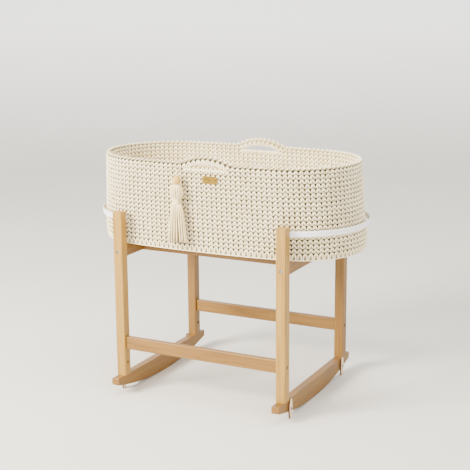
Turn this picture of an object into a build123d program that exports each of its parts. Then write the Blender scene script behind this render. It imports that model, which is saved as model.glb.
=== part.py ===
from build123d import *
import os
from math import hypot

# Crocheted oval basket on a rocking wooden stand, in millimetres.
# The origin is on the floor under the middle of the stand. X runs along the basket, Y across it
# (the front is -Y), and Z is up.

# ---- stand: driving dimensions ----
leg_side = 30
leg_length = 507
leg_pitch_x = 532
leg_pitch_y = 444
rocker_width = 25
rocker_half_length = 272
rocker_end_height = 20
rocker_sag = 36
board_thickness = 16
stretcher_height = 39
stretcher_rise = 84
rail_height = 38
rail_rise = 367
support_rail_offset = 99
round_over = 2.5
band_height = 17
band_thickness = 2
band_reach = 425
band_below_leg_top = 12

# ---- basket: driving dimensions ----
half_width = 205.5
side_bow = 10
wall = 13
rim_height = 264
board_base_thickness = 6
rim_border = 20
# each section is its height above the basket's underside, its half length and its shift along X
sections = [(6, 417.5, 0), (39, 420, 0), (84, 415.5, -2.5), (264, 406, -7), (288, 404.5, -7.5)]
edge_strip = 6
lacing_hole_radius = 2.5
lacing_hole_inset = 15
lacing_hole_count = 66

# ---- fasteners ----
m6_radius = 3
m6_clearance = 3.2
head_radius = 4.8
head_height = 5
counterbore_radius = 5.2
counterbore_depth = 7
nut_radius = 5
nut_length = 12
nut_from_end = 20
stopper_screw_radius = 2
running_clearance = 0.05
bolt_overrun = 9
rocker_bolt_length = 70
rocker_nut_rise = 41
rocker_counterbore_depth = 10
frame_bolt_length = 50
hex_socket_radius = 2.6
hex_socket_depth = 3
small_socket_radius = 1.5
small_socket_depth = 1.2
band_screw_length = 20
band_screw_head_radius = 4.5
stopper_screw_length = 21.2
stopper_screw_head_radius = 4
small_head_height = 2
stopper_hole_depth = 17
rail_screw_radius = 2.2
rail_screw_length = 50
rail_screw_hole_radius = 2.3
rail_screw_hole_depth = 36
rail_screw_head_radius = 4.4
rail_screw_sink_radius = 4.6

# ---- places worked out from the above ----
rocker_top = rocker_end_height + rocker_sag
leg_x = leg_pitch_x / 2
leg_y = leg_pitch_y / 2
leg_top = rocker_top + leg_length
leg_inner_y = leg_y - leg_side / 2
leg_outer_y = leg_y + leg_side / 2
leg_inner_x = leg_x - leg_side / 2
leg_outer_x = leg_x + leg_side / 2
stretcher_z = rocker_top + stretcher_rise + stretcher_height / 2
rail_bottom = rocker_top + rail_rise
rail_top = rail_bottom + rail_height
rocker_nut_z = rocker_top + rocker_nut_rise
rail_z = rail_bottom + rail_height / 2
cross_rail_inner_x = leg_x - board_thickness / 2
band_bottom = leg_top - band_below_leg_top - band_height
band_z = band_bottom + band_height / 2
basket_bottom = rail_top
board_top = basket_bottom + board_base_thickness
rim_top = basket_bottom + rim_height
sides = [(-1, "left"), (1, "right")]
depths = [(-1, "front"), (1, "rear")]

os.makedirs("parts", exist_ok=True)


def oval(half_length, inset=0, shift=0):
    """A flat four-arc oval: round ends of one radius, joined by long shallow side arcs."""
    a = half_length - inset
    b = half_width - inset
    end_radius = b - side_bow
    end_x = a - end_radius
    drop = (end_x**2 - side_bow**2) / (2 * side_bow)
    reach = (drop + b) / hypot(end_x, drop)
    tx = reach * end_x
    ty = reach * drop - drop
    with BuildSketch() as face:
        with BuildLine():
            ThreePointArc((shift + tx, ty), (shift, b), (shift - tx, ty))
            ThreePointArc((shift - tx, ty), (shift - a, 0), (shift - tx, -ty))
            ThreePointArc((shift - tx, -ty), (shift, -b), (shift + tx, -ty))
            ThreePointArc((shift + tx, -ty), (shift + a, 0), (shift + tx, ty))
        make_face()
    return face.sketch


def bolt(shank_radius, shank_length, cap_radius, cap_height, socket_radius, socket_depth):
    """A cap-head bolt with a hexagon socket, its seat at the origin and its shank along -Z."""
    with BuildPart() as piece:
        with BuildSketch(Plane.XY):
            Circle(cap_radius)
        extrude(amount=cap_height)
        with BuildSketch(Plane.XY):
            Circle(shank_radius)
        extrude(amount=-shank_length)
        with BuildSketch(Plane.XY.offset(cap_height)):
            RegularPolygon(socket_radius, 6)
        extrude(amount=-socket_depth, mode=Mode.SUBTRACT)
    return piece.part


def barrel_nut(length):
    """A cross-dowel nut along Z, bored across its middle along X."""
    with BuildPart() as piece:
        with BuildSketch(Plane.XY.offset(-length / 2)):
            Circle(nut_radius)
        extrude(amount=length)
        with BuildSketch(Plane.YZ):
            Circle(m6_radius + running_clearance)
        extrude(amount=nut_radius, both=True, mode=Mode.SUBTRACT)
    return piece.part


# ---- legs: planed square posts with softened edges, drilled for bolts and barrel nuts ----
for sx, side in sides:
    for sy, depth in depths:
        with BuildPart() as leg:
            with BuildSketch(Plane.XY.offset(rocker_top)):
                with Locations((sx * leg_x, sy * leg_y)):
                    Rectangle(leg_side, leg_side)
            extrude(amount=leg_length)
            fillet(leg.edges().filter_by(Axis.Z), radius=round_over)
            fillet(leg.faces().sort_by(Axis.Z)[-1].edges(), radius=round_over / 2)
            with Locations(Plane((sx * leg_x, sy * leg_outer_y, rail_z), z_dir=(0, sy, 0))):
                CounterBoreHole(m6_clearance, counterbore_radius, counterbore_depth, leg_side)
            with Locations(Plane((sx * leg_outer_x, sy * leg_y, stretcher_z), z_dir=(sx, 0, 0))):
                CounterBoreHole(m6_clearance, counterbore_radius, counterbore_depth, leg_side)
            with Locations(Plane((sx * leg_x, sy * leg_y, rocker_top), z_dir=(0, 0, -1))):
                Hole(m6_clearance, rocker_nut_rise + bolt_overrun)
            with Locations(Plane((sx * leg_inner_x, sy * leg_y, rocker_nut_z), z_dir=(-sx, 0, 0))):
                Hole(nut_radius + running_clearance, leg_side / 2 + nut_length / 2)
            with Locations(Plane((sx * leg_x, sy * leg_inner_y, band_z), z_dir=(0, -sy, 0))):
                Hole(stopper_screw_radius + running_clearance, band_screw_length)
        leg.part.label = f"leg_{depth}_{side}"
        export_step(leg.part, f"parts/leg_{depth}_{side}.step")

# ---- rockers: flat on top, one long arc underneath ----
rocker_radius = (rocker_half_length**2 + rocker_sag**2) / (2 * rocker_sag)
bolt_underside = rocker_radius - (rocker_radius**2 - leg_y**2) ** 0.5
stopper_y = 200.5
stopper_z = 30
for sx, side in sides:
    with BuildPart() as rocker:
        with BuildSketch(Plane.YZ.offset(sx * leg_x)):
            with BuildLine():
                Line((-rocker_half_length, rocker_sag), (-rocker_half_length, rocker_top))
                Line((-rocker_half_length, rocker_top), (rocker_half_length, rocker_top))
                Line((rocker_half_length, rocker_top), (rocker_half_length, rocker_sag))
                ThreePointArc((rocker_half_length, rocker_sag), (0, 0), (-rocker_half_length, rocker_sag))
            make_face()
        extrude(amount=rocker_width / 2, both=True)
        fillet(rocker.edges(), radius=2)
        for sy, depth in depths:
            with Locations(Plane((sx * leg_x, sy * leg_y, bolt_underside), z_dir=(0, 0, -1))):
                CounterBoreHole(m6_clearance, counterbore_radius, rocker_counterbore_depth, rocker_top)
            stopper_face = sx * (leg_x + rocker_width / 2)
            with Locations(Plane((stopper_face, sy * stopper_y, stopper_z), z_dir=(sx, 0, 0))):
                Hole(stopper_screw_radius + running_clearance, stopper_hole_depth)
    rocker.part.label = f"rocker_{side}"
    export_step(rocker.part, f"parts/rocker_{side}.step")

# ---- stretchers: long boards low down between the left and right legs ----
for sy, depth in depths:
    with BuildPart() as stretcher:
        with BuildSketch(Plane.YZ.offset(-leg_inner_x)):
            with Locations((sy * leg_y, stretcher_z)):
                RectangleRounded(board_thickness, stretcher_height, round_over)
        extrude(amount=2 * leg_inner_x)
        for sx, side in sides:
            with Locations(Plane((sx * leg_inner_x, sy * leg_y, stretcher_z), z_dir=(sx, 0, 0))):
                Hole(m6_clearance, nut_from_end + bolt_overrun)
            nut_x = sx * (leg_inner_x - nut_from_end)
            nut_mouth = stretcher_z - stretcher_height / 2
            with Locations(Plane((nut_x, sy * leg_y, nut_mouth), z_dir=(0, 0, -1))):
                Hole(nut_radius + running_clearance, stretcher_height / 2 + nut_length / 2)
    stretcher.part.label = f"stretcher_{depth}"
    export_step(stretcher.part, f"parts/stretcher_{depth}.step")

# ---- cross rails: join the front and rear legs under the basket's ends ----
for sx, side in sides:
    with BuildPart() as cross_rail:
        with BuildSketch(Plane.XZ.offset(-leg_inner_y)):
            with Locations((sx * leg_x, rail_z)):
                RectangleRounded(board_thickness, rail_height, round_over)
        extrude(amount=2 * leg_inner_y)
        for sy, depth in depths:
            with Locations(Plane((sx * leg_x, sy * leg_inner_y, rail_z), z_dir=(0, sy, 0))):
                Hole(m6_clearance, nut_from_end + bolt_overrun)
            nut_y = sy * (leg_inner_y - nut_from_end)
            with Locations(Plane((sx * leg_x, nut_y, rail_bottom), z_dir=(0, 0, -1))):
                Hole(nut_radius + running_clearance, rail_height / 2 + nut_length / 2)
            outer_face = sx * (leg_x + board_thickness / 2)
            with Locations(Plane((outer_face, sy * support_rail_offset, rail_z), z_dir=(sx, 0, 0))):
                CounterSinkHole(rail_screw_hole_radius, rail_screw_sink_radius, board_thickness)
    cross_rail.part.label = f"cross_rail_{side}"
    export_step(cross_rail.part, f"parts/cross_rail_{side}.step")

# ---- support rails: carry the basket, screwed between the cross rails ----
for sy, depth in depths:
    with BuildPart() as support_rail:
        with BuildSketch(Plane.YZ.offset(-cross_rail_inner_x)):
            with Locations((sy * support_rail_offset, rail_z)):
                RectangleRounded(board_thickness, rail_height, round_over)
        extrude(amount=2 * cross_rail_inner_x)
        for sx, side in sides:
            end_middle = (sx * cross_rail_inner_x, sy * support_rail_offset, rail_z)
            with Locations(Plane(end_middle, z_dir=(sx, 0, 0))):
                Hole(rail_screw_hole_radius, rail_screw_hole_depth)
    support_rail.part.label = f"support_rail_{depth}"
    export_step(support_rail.part, f"parts/support_rail_{depth}.step")

# ---- end bands: flat webbing from leg to leg round each end of the basket ----
tab_overlap = 0.2
band_mid_y = leg_inner_y - band_thickness / 2
band_centre = (leg_outer_x**2 + band_mid_y**2 - band_reach**2) / (2 * (leg_outer_x - band_reach))
band_radius = band_reach - band_centre
for sx, side in sides:
    with BuildPart() as end_band:
        with BuildSketch(Plane.XY.offset(band_bottom)):
            with Locations((sx * band_centre, 0)):
                Circle(band_radius + band_thickness / 2)
                Circle(band_radius - band_thickness / 2, mode=Mode.SUBTRACT)
            with Locations((sx * (leg_outer_x - band_reach), 0)):
                Rectangle(2 * band_reach, 2 * band_reach, mode=Mode.SUBTRACT)
            with Locations((sx * leg_x, band_mid_y), (sx * leg_x, -band_mid_y)):
                Rectangle(leg_side + tab_overlap, band_thickness)
        extrude(amount=band_height)
        with Locations(Plane((sx * leg_x, 0, band_z), z_dir=(0, 1, 0))):
            Hole(stopper_screw_radius + running_clearance)
    end_band.part.label = f"end_band_{side}"
    export_step(end_band.part, f"parts/end_band_{side}.step")

# ---- bolts, nuts and screws of the stand ----
m6_head = (head_radius, head_height, hex_socket_radius, hex_socket_depth)
small_socket = (small_head_height, small_socket_radius, small_socket_depth)
frame_bolt = bolt(m6_radius, frame_bolt_length, *m6_head)
rocker_bolt = bolt(m6_radius, rocker_bolt_length, *m6_head)
nut = barrel_nut(nut_length)
band_screw = bolt(stopper_screw_radius, band_screw_length, band_screw_head_radius, *small_socket)
stopper_screw = bolt(
    stopper_screw_radius, stopper_screw_length, stopper_screw_head_radius, *small_socket
)
corners = [(sx, sy) for sx, _ in sides for sy, _ in depths]
bolt_seat_y = leg_outer_y - counterbore_depth
bolt_seat_x = leg_outer_x - counterbore_depth

with BuildPart() as cross_rail_bolts:
    seats = [Plane((sx * leg_x, sy * bolt_seat_y, rail_z), z_dir=(0, sy, 0)) for sx, sy in corners]
    with Locations(*seats):
        add(frame_bolt)
cross_rail_bolts.part.label = "cross_rail_bolts"
export_step(cross_rail_bolts.part, "parts/cross_rail_bolts.step")

with BuildPart() as cross_rail_nuts:
    nut_y = leg_inner_y - nut_from_end
    with Locations(*[Location((sx * leg_x, sy * nut_y, rail_z), (0, 0, 90)) for sx, sy in corners]):
        add(nut)
cross_rail_nuts.part.label = "cross_rail_nuts"
export_step(cross_rail_nuts.part, "parts/cross_rail_nuts.step")

with BuildPart() as stretcher_bolts:
    seats = [
        Plane((sx * bolt_seat_x, sy * leg_y, stretcher_z), z_dir=(sx, 0, 0)) for sx, sy in corners
    ]
    with Locations(*seats):
        add(frame_bolt)
stretcher_bolts.part.label = "stretcher_bolts"
export_step(stretcher_bolts.part, "parts/stretcher_bolts.step")

with BuildPart() as stretcher_nuts:
    nut_x = leg_inner_x - nut_from_end
    with Locations(*[Location((sx * nut_x, sy * leg_y, stretcher_z)) for sx, sy in corners]):
        add(nut)
stretcher_nuts.part.label = "stretcher_nuts"
export_step(stretcher_nuts.part, "parts/stretcher_nuts.step")

with BuildPart() as rocker_bolts:
    seat_z = bolt_underside + rocker_counterbore_depth
    seats = [Plane((sx * leg_x, sy * leg_y, seat_z), z_dir=(0, 0, -1)) for sx, sy in corners]
    with Locations(*seats):
        add(rocker_bolt)
rocker_bolts.part.label = "rocker_bolts"
export_step(rocker_bolts.part, "parts/rocker_bolts.step")

with BuildPart() as rocker_nuts:
    spots = [Location((sx * leg_x, sy * leg_y, rocker_nut_z), (0, 90, 0)) for sx, sy in corners]
    with Locations(*spots):
        add(nut)
rocker_nuts.part.label = "rocker_nuts"
export_step(rocker_nuts.part, "parts/rocker_nuts.step")

with BuildPart() as rail_screws:
    screw_face_x = leg_x + board_thickness / 2
    for sx, sy in corners:
        face_middle = (sx * screw_face_x, sy * support_rail_offset, rail_z)
        with BuildSketch(Plane(face_middle, z_dir=(-sx, 0, 0))):
            Circle(rail_screw_head_radius)
        extrude(amount=rail_screw_head_radius - rail_screw_radius, taper=45)
        with BuildSketch(Plane(face_middle, z_dir=(-sx, 0, 0))):
            Circle(rail_screw_radius)
        extrude(amount=rail_screw_length)
rail_screws.part.label = "rail_screws"
export_step(rail_screws.part, "parts/rail_screws.step")

with BuildPart() as band_screws:
    seat_y = leg_inner_y - band_thickness
    seats = [Plane((sx * leg_x, sy * seat_y, band_z), z_dir=(0, -sy, 0)) for sx, sy in corners]
    with Locations(*seats):
        add(band_screw)
band_screws.part.label = "band_screws"
export_step(band_screws.part, "parts/band_screws.step")

# ---- stoppers: plywood cams that turn down to the floor and hold the rockers still ----
stopper_thickness = 5
stopper_gap = 0.2
stopper_half_width = 10
stopper_end_half_width = 5
stopper_x = leg_x + rocker_width / 2 + stopper_gap
for sx, side in sides:
    for sy, depth in depths:
        with BuildPart() as stopper:
            pivot = (sx * stopper_x, sy * stopper_y, stopper_z)
            with BuildSketch(Plane(pivot, x_dir=(0, 1, 0), z_dir=(sx, 0, 0))):
                end_z = (stopper_z**2 - stopper_end_half_width**2) ** 0.5
                with BuildLine():
                    right = stopper_end_half_width
                    ThreePointArc((right, -end_z), (stopper_half_width, 0), (right, end_z))
                    ThreePointArc((right, end_z), (0, stopper_z), (-right, end_z))
                    ThreePointArc((-right, end_z), (-stopper_half_width, 0), (-right, -end_z))
                    ThreePointArc((-right, -end_z), (0, -stopper_z), (right, -end_z))
                make_face()
                Circle(stopper_screw_radius + running_clearance, mode=Mode.SUBTRACT)
            extrude(amount=stopper_thickness)
        stopper.part.label = f"stopper_{depth}_{side}"
        export_step(stopper.part, f"parts/stopper_{depth}_{side}.step")

with BuildPart() as stopper_screws:
    seat_x = stopper_x + stopper_thickness + stopper_gap
    seats = [
        Plane((sx * seat_x, sy * stopper_y, stopper_z), z_dir=(sx, 0, 0)) for sx, sy in corners
    ]
    with Locations(*seats):
        add(stopper_screw)
stopper_screws.part.label = "stopper_screws"
export_step(stopper_screws.part, "parts/stopper_screws.step")

# ---- basket floor: plywood oval, drilled all round for the crochet's first row ----
with BuildPart() as base_board:
    with BuildSketch(Plane.XY.offset(basket_bottom)):
        add(oval(sections[0][1], inset=edge_strip))
    extrude(amount=board_base_thickness)
    hole_line = oval(sections[0][1], inset=lacing_hole_inset).wire()
    holes = [hole_line.position_at(i / lacing_hole_count) for i in range(lacing_hole_count)]
    with BuildSketch(Plane.XY.offset(basket_bottom)):
        with Locations(*holes):
            Circle(lacing_hole_radius)
    extrude(amount=board_base_thickness, mode=Mode.SUBTRACT)
base_board.part.label = "base_board"
export_step(base_board.part, "parts/base_board.step")

# ---- first row of crochet, worked round the board's edge ----
with BuildPart() as foundation_row:
    with BuildSketch(Plane.XY.offset(basket_bottom)):
        add(oval(sections[0][1]))
        add(oval(sections[0][1], inset=edge_strip), mode=Mode.SUBTRACT)
    extrude(amount=board_base_thickness)
foundation_row.part.label = "foundation_row"
export_step(foundation_row.part, "parts/foundation_row.step")

# ---- crocheted wall and its two handles, cut from one lofted shell ----
with BuildPart() as shell:
    for height, half_length, shift in sections:
        with BuildSketch(Plane.XY.offset(basket_bottom + height)):
            add(oval(half_length, 0, shift))
    loft(ruled=True)
    for height, half_length, shift in sections:
        with BuildSketch(Plane.XY.offset(basket_bottom + height)):
            add(oval(half_length, wall, shift))
    loft(ruled=True, mode=Mode.SUBTRACT)

handle_half_length = 87
handle_slot_half_length = 67
handle_slot_height = 17
handle_rise = 22
slot_bottom = rim_top - rim_border
handles = [(-1, "front", 17), (1, "rear", 0)]
shell_top = basket_bottom + sections[-1][0]
past_basket = 1000
label_x = 31.5
label_z = 676
label_length = 49
label_height = 22
label_thickness = 0.8
rivet_spacing = 38
rivet_hole_radius = 1.6
rivet_radius = 1.5
rivet_head_radius = 2.6
rivet_head_height = 0.8
label_gap = 0.2
label_corner = 5

with BuildPart() as basket_wall:
    add(shell.part)
    with BuildSketch(Plane.XY.offset(rim_top)):
        Rectangle(past_basket, past_basket)
    extrude(amount=shell_top - rim_top, mode=Mode.SUBTRACT)
    for sy, depth, handle_x in handles:
        with BuildSketch(Plane.XZ):
            with Locations((handle_x, rim_top)):
                Rectangle(2 * handle_half_length, 2 * rim_border)
        extrude(amount=-sy * past_basket, mode=Mode.SUBTRACT)
    with BuildSketch(Plane.XZ):
        with Locations((label_x, label_z)):
            with GridLocations(rivet_spacing, 0, 2, 1):
                Circle(rivet_hole_radius)
    extrude(amount=past_basket, mode=Mode.SUBTRACT)
basket_wall.part.label = "basket_wall"
export_step(basket_wall.part, "parts/basket_wall.step")

for sy, depth, handle_x in handles:
    with BuildPart() as handle:
        with BuildSketch(Plane.XZ):
            with BuildLine():
                outer_left = (handle_x - handle_half_length, rim_top)
                outer_right = (handle_x + handle_half_length, rim_top)
                slot_left = (handle_x - handle_slot_half_length, slot_bottom)
                slot_right = (handle_x + handle_slot_half_length, slot_bottom)
                Line(outer_left, (outer_left[0], slot_bottom))
                Line((outer_left[0], slot_bottom), slot_left)
                ThreePointArc(slot_left, (handle_x, slot_bottom + handle_slot_height), slot_right)
                Line(slot_right, (outer_right[0], slot_bottom))
                Line((outer_right[0], slot_bottom), outer_right)
                ThreePointArc(outer_right, (handle_x, rim_top + handle_rise), outer_left)
            make_face()
        extrude(amount=-sy * past_basket)
        add(shell.part, mode=Mode.INTERSECT)
    handle.part.label = f"handle_{depth}"
    export_step(handle.part, f"parts/handle_{depth}.step")

# ---- brass label, a plain plate held by two rivets ----
label_back = (label_x, -half_width - label_gap, label_z)
label_face = Plane(label_back, x_dir=(1, 0, 0), z_dir=(0, -1, 0))

with BuildPart() as label_plate:
    with BuildSketch(label_face) as outline:
        Rectangle(label_length, label_height)
        chamfer(outline.vertices(), length=label_corner)
        with GridLocations(rivet_spacing, 0, 2, 1):
            Circle(rivet_hole_radius, mode=Mode.SUBTRACT)
    extrude(amount=label_thickness)
label_plate.part.label = "label_plate"
export_step(label_plate.part, "parts/label_plate.step")

with BuildPart() as label_rivets:
    with BuildSketch(label_face.offset(label_thickness)):
        with GridLocations(rivet_spacing, 0, 2, 1):
            Circle(rivet_head_radius)
    extrude(amount=rivet_head_height)
    with BuildSketch(label_face.offset(label_thickness)):
        with GridLocations(rivet_spacing, 0, 2, 1):
            Circle(rivet_radius)
    extrude(amount=-wall)
label_rivets.part.label = "label_rivets"
export_step(label_rivets.part, "parts/label_rivets.step")

# ---- mattress: an oval foam pad that lies on the board ----
mattress_half_length = 384
mattress_height = 32
mattress_inset = 15.5
mattress_round = 10
with BuildPart() as mattress:
    with BuildSketch(Plane.XY.offset(board_top)):
        add(oval(mattress_half_length + mattress_inset, inset=mattress_inset))
    extrude(amount=mattress_height)
    fillet(mattress.faces().sort_by(Axis.Z)[-1].edges(), radius=mattress_round)
mattress.part.label = "mattress"
export_step(mattress.part, "parts/mattress.step")

# ---- tassel: cord, bead, head, binding and skirt, hanging in front of the wall ----
tassel_x = -66
tassel_y = -half_width - 21
tassel_end_gap = 1
cord_bend = 9
cord_start_gap = 0.5
binding_half_width = 15
binding_half_depth = 13.5
bead_radius = 12.5
bead_z = 672.5
bead_bore = 3.2
cord_radius = 2
cord_start_z = 703
cord_end_z = bead_z + bead_radius + tassel_end_gap
head_top = bead_z - bead_radius
binding_top = 622
skirt_top = 601
skirt_bottom = 489
# each section is its height, its half width and its half depth
neck_section = (14, 12.5)
head_sections = [(head_top, 7, 7), (655, 15, 13), (641, 20, 18), (629, 18, 16)]
head_sections.append((binding_top, *neck_section))
skirt_sections = [(skirt_top, *neck_section), (590, 19, 15), (555, 22.5, 17), (skirt_bottom, 26, 18.5)]

with BuildPart() as tassel_cord:
    with BuildLine():
        FilletPolyline(
            (tassel_x, -half_width - cord_start_gap, cord_start_z),
            (tassel_x, tassel_y, cord_start_z - 1),
            (tassel_x, tassel_y, cord_end_z),
            radius=cord_bend,
        )
    with BuildSketch(Plane((tassel_x, tassel_y, cord_end_z), z_dir=(0, 0, 1))):
        Circle(cord_radius)
    sweep()
tassel_cord.part.label = "tassel_cord"
export_step(tassel_cord.part, "parts/tassel_cord.step")

with BuildPart() as bead:
    with Locations((tassel_x, tassel_y, bead_z)):
        Sphere(bead_radius)
        Cylinder(bead_bore, 2 * bead_radius, mode=Mode.SUBTRACT)
bead.part.label = "tassel_bead"
export_step(bead.part, "parts/tassel_bead.step")

for rings, node in [(head_sections, "tassel_head"), (skirt_sections, "tassel_skirt")]:
    with BuildPart() as yarn:
        for height, across, deep in rings:
            with BuildSketch(Plane((tassel_x, tassel_y, height))):
                Ellipse(across, deep)
        loft()
    yarn.part.label = node
    export_step(yarn.part, f"parts/{node}.step")

with BuildPart() as tassel_binding:
    with BuildSketch(Plane((tassel_x, tassel_y, skirt_top))):
        Ellipse(binding_half_width, binding_half_depth)
    extrude(amount=binding_top - skirt_top)
tassel_binding.part.label = "tassel_binding"
export_step(tassel_binding.part, "parts/tassel_binding.step")
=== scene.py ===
import math

import bpy
import numpy as np
from mathutils import Matrix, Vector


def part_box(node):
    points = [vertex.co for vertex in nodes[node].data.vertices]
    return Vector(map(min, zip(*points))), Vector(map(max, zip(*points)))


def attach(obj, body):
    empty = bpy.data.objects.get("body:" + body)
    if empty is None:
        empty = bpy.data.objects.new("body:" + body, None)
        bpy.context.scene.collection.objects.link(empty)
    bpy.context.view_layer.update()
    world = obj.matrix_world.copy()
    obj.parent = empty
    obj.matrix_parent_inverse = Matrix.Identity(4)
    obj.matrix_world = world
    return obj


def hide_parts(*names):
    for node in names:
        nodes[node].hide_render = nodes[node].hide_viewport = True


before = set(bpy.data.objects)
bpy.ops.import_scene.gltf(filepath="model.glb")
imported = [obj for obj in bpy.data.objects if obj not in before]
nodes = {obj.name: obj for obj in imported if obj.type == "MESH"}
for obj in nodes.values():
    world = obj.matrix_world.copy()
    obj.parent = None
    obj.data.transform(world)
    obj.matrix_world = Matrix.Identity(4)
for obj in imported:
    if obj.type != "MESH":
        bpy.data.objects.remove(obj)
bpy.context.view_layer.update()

# ---- the stand's timber ----
# Square legs, boards and curved rockers of planed pale beech under a matt lacquer. The legs stand
# on the rockers, and cross-dowel bolts pull every joint tight, which leaves a fine dark line there.
MM = 0.001


def linear(hex_code):
    """An sRGB hex colour as linear RGBA: each channel c is c/12.92, or ((c + 0.055)/1.055)^2.4."""
    channels = np.array([int(hex_code[i:i + 2], 16) for i in (0, 2, 4)]) / 255
    low = channels / 12.92
    high = ((channels + 0.055) / 1.055) ** 2.4
    return (*np.where(channels <= 0.04045, low, high).tolist(), 1.0)


def add(tree, kind, inputs=None, **settings):
    """Adds a node, sets its properties, and fills or links each input named or numbered."""
    node = tree.nodes.new(kind)
    for key, value in settings.items():
        setattr(node, key, value)
    for socket, value in (inputs or {}).items():
        if isinstance(value, bpy.types.NodeSocket):
            tree.links.new(value, node.inputs[socket])
        else:
            node.inputs[socket].default_value = value
    return node


def start_material(name, **sockets):
    """An empty material with its surface shader; constants go straight onto the shader's sockets."""
    material = bpy.data.materials.new(name)
    material.use_nodes = True
    tree = material.node_tree
    shader = tree.nodes["Principled BSDF"]
    for socket, value in sockets.items():
        shader.inputs[socket.replace("_", " ")].default_value = value
    return material, tree, shader


def ramp(tree, factor, *stops):
    """A colour ramp over factor, through (position, sRGB hex) stops."""
    node = add(tree, "ShaderNodeValToRGB", {0: factor})
    elements = node.color_ramp.elements
    while len(elements) < len(stops):
        elements.new(0.5)
    for element, (position, colour) in zip(elements, stops):
        element.position = position
        element.color = linear(colour)
    return node.outputs[0]


def bump(tree, shader, height, strength, distance):
    """Raises the surface by height times distance, in metres."""
    node = add(tree, "ShaderNodeBump", {"Height": height, "Strength": strength, "Distance": distance})
    tree.links.new(node.outputs[0], shader.inputs["Normal"])


def mix(tree, factor, first, second):
    """Blends two colours by factor."""
    node = add(tree, "ShaderNodeMix", {0: factor, 6: first, 7: second}, data_type="RGBA")
    return node.outputs[2]


def noise(tree, size, detail, place=(0, 0, 0), **inputs):
    """Noise over the object's own coordinates, with spots of the given size, in metres along each axis."""
    coord = add(tree, "ShaderNodeTexCoord").outputs["Object"]
    scale = (1 / np.broadcast_to(size, 3)).tolist()
    mapped = add(tree, "ShaderNodeMapping", {"Vector": coord, "Location": place, "Scale": scale}).outputs[0]
    inputs = {"Vector": mapped, "Scale": 1.0, "Detail": detail, **inputs}
    return add(tree, "ShaderNodeTexNoise", inputs).outputs["Fac"]


def maths(tree, operation, first, second=0.0):
    """A maths node's result."""
    return add(tree, "ShaderNodeMath", {0: first, 1: second}, operation=operation).outputs[0]


def paint(name, material):
    """Puts a material in every slot of a CAD node."""
    slots = nodes[name].data.materials
    if not slots:
        slots.append(material)
    for i in range(len(slots)):
        slots[i] = material


# Grain bands are about 7 mm wide and 150 mm long, and the ray flecks 1.5 mm by 9 mm.
GRAIN_BAND = (7 * MM, 150 * MM)
FLECK = (1.5 * MM, 9 * MM)
AXIS = {"x": 0, "y": 1, "z": 2}


def beech(name, grain_axis, place, tone):
    """Beech planed and matt lacquered: straight soft grain, short darker ray flecks, low gloss."""
    material, tree, shader = start_material(name, Roughness=0.46, IOR=1.5, Coat_Weight=0.08,
                                            Coat_Roughness=0.4)

    def along_grain(size):
        return np.where(np.arange(3) == AXIS[grain_axis], size[1], size[0])

    bands = noise(tree, along_grain(GRAIN_BAND), 4.0, place, Roughness=0.55, Distortion=0.4)
    flecks = noise(tree, along_grain(FLECK), 2.0, place)
    light, mid, dark = tone
    colour = ramp(tree, bands, (0.3, dark), (0.5, mid), (0.72, light))
    faint = maths(tree, "MULTIPLY", ramp(tree, flecks, (0.58, "000000"), (0.7, "ffffff")), 0.3)
    colour = mix(tree, faint, colour, linear("8a6026"))
    tree.links.new(colour, shader.inputs["Base Color"])
    bump(tree, shader, bands, 0.25, 0.4 * MM)
    return material


# the front legs get a paler tone than the rest; the rest's darker tone is painted shade, for the basket's
# shadow on the rear legs
PALE_TONE = ("a68132", "9b7427", "8a641a")
WARM_SHADED_TONE = ("825e18", "785211", "664609")
GRAIN_OF = {"leg": "z", "rocker": "y", "stretcher": "x", "cross": "y", "support": "x"}
boards = ["leg_front_left", "leg_front_right", "leg_rear_left", "leg_rear_right",
          "rocker_left", "rocker_right", "stretcher_front", "stretcher_rear",
          "cross_rail_left", "cross_rail_right", "support_rail_front", "support_rail_rear"]
for number, board in enumerate(boards):
    tone = PALE_TONE if board.startswith("leg_front") else WARM_SHADED_TONE
    place = (number * 7.3, number * 3.1, number * 5.7)
    paint(board, beech(f"beech_{board}", GRAIN_OF[board.split("_")[0]], place, tone))

# ---- bolts, cross-dowel nuts and screws ----
# Zinc-plated steel, turned and stamped: a grey metal with a dull, slightly mottled shine. Each sits
# in its drilled hole in the timber.
zinc, tree, shader = start_material("zinc_plated_steel", Metallic=1.0, Roughness=0.38)
mottle = noise(tree, 2 * MM, 3.0)
tree.links.new(ramp(tree, mottle, (0.3, "8d8a85"), (0.7, "b4b2ae")), shader.inputs["Base Color"])
bump(tree, shader, mottle, 0.15, 0.1 * MM)
for fastener in ("cross_rail_bolts", "cross_rail_nuts", "stretcher_bolts", "stretcher_nuts", "rocker_bolts",
                 "rocker_nuts", "rail_screws", "band_screws", "stopper_screws"):
    paint(fastener, zinc)

# ---- stoppers on the rockers ----
# Lens-shaped cams cut by laser from 5 mm birch plywood, so the faces are pale and the cut edges
# scorched brown. Each turns on one screw.
plywood, tree, shader = start_material("laser_cut_birch_plywood", Roughness=0.55, IOR=1.5)
grain = noise(tree, (1.6 * MM, 3 * MM, 40 * MM), 3.0)
face_colour = ramp(tree, grain, (0.3, "d9b98c"), (0.7, "efd8b4"))
edge_colour = ramp(tree, grain, (0.3, "3d2413"), (0.7, "6b4526"))
normal = add(tree, "ShaderNodeTexCoord").outputs["Normal"]
facing = maths(tree, "ABSOLUTE", add(tree, "ShaderNodeSeparateXYZ", {0: normal}).outputs[0])
on_face = ramp(tree, facing, (0.6, "000000"), (0.8, "ffffff"))
tree.links.new(mix(tree, on_face, edge_colour, face_colour), shader.inputs["Base Color"])
bump(tree, shader, grain, 0.2, 0.2 * MM)
for cam in ("stopper_front_left", "stopper_front_right", "stopper_rear_left", "stopper_rear_right"):
    paint(cam, plywood)

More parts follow.
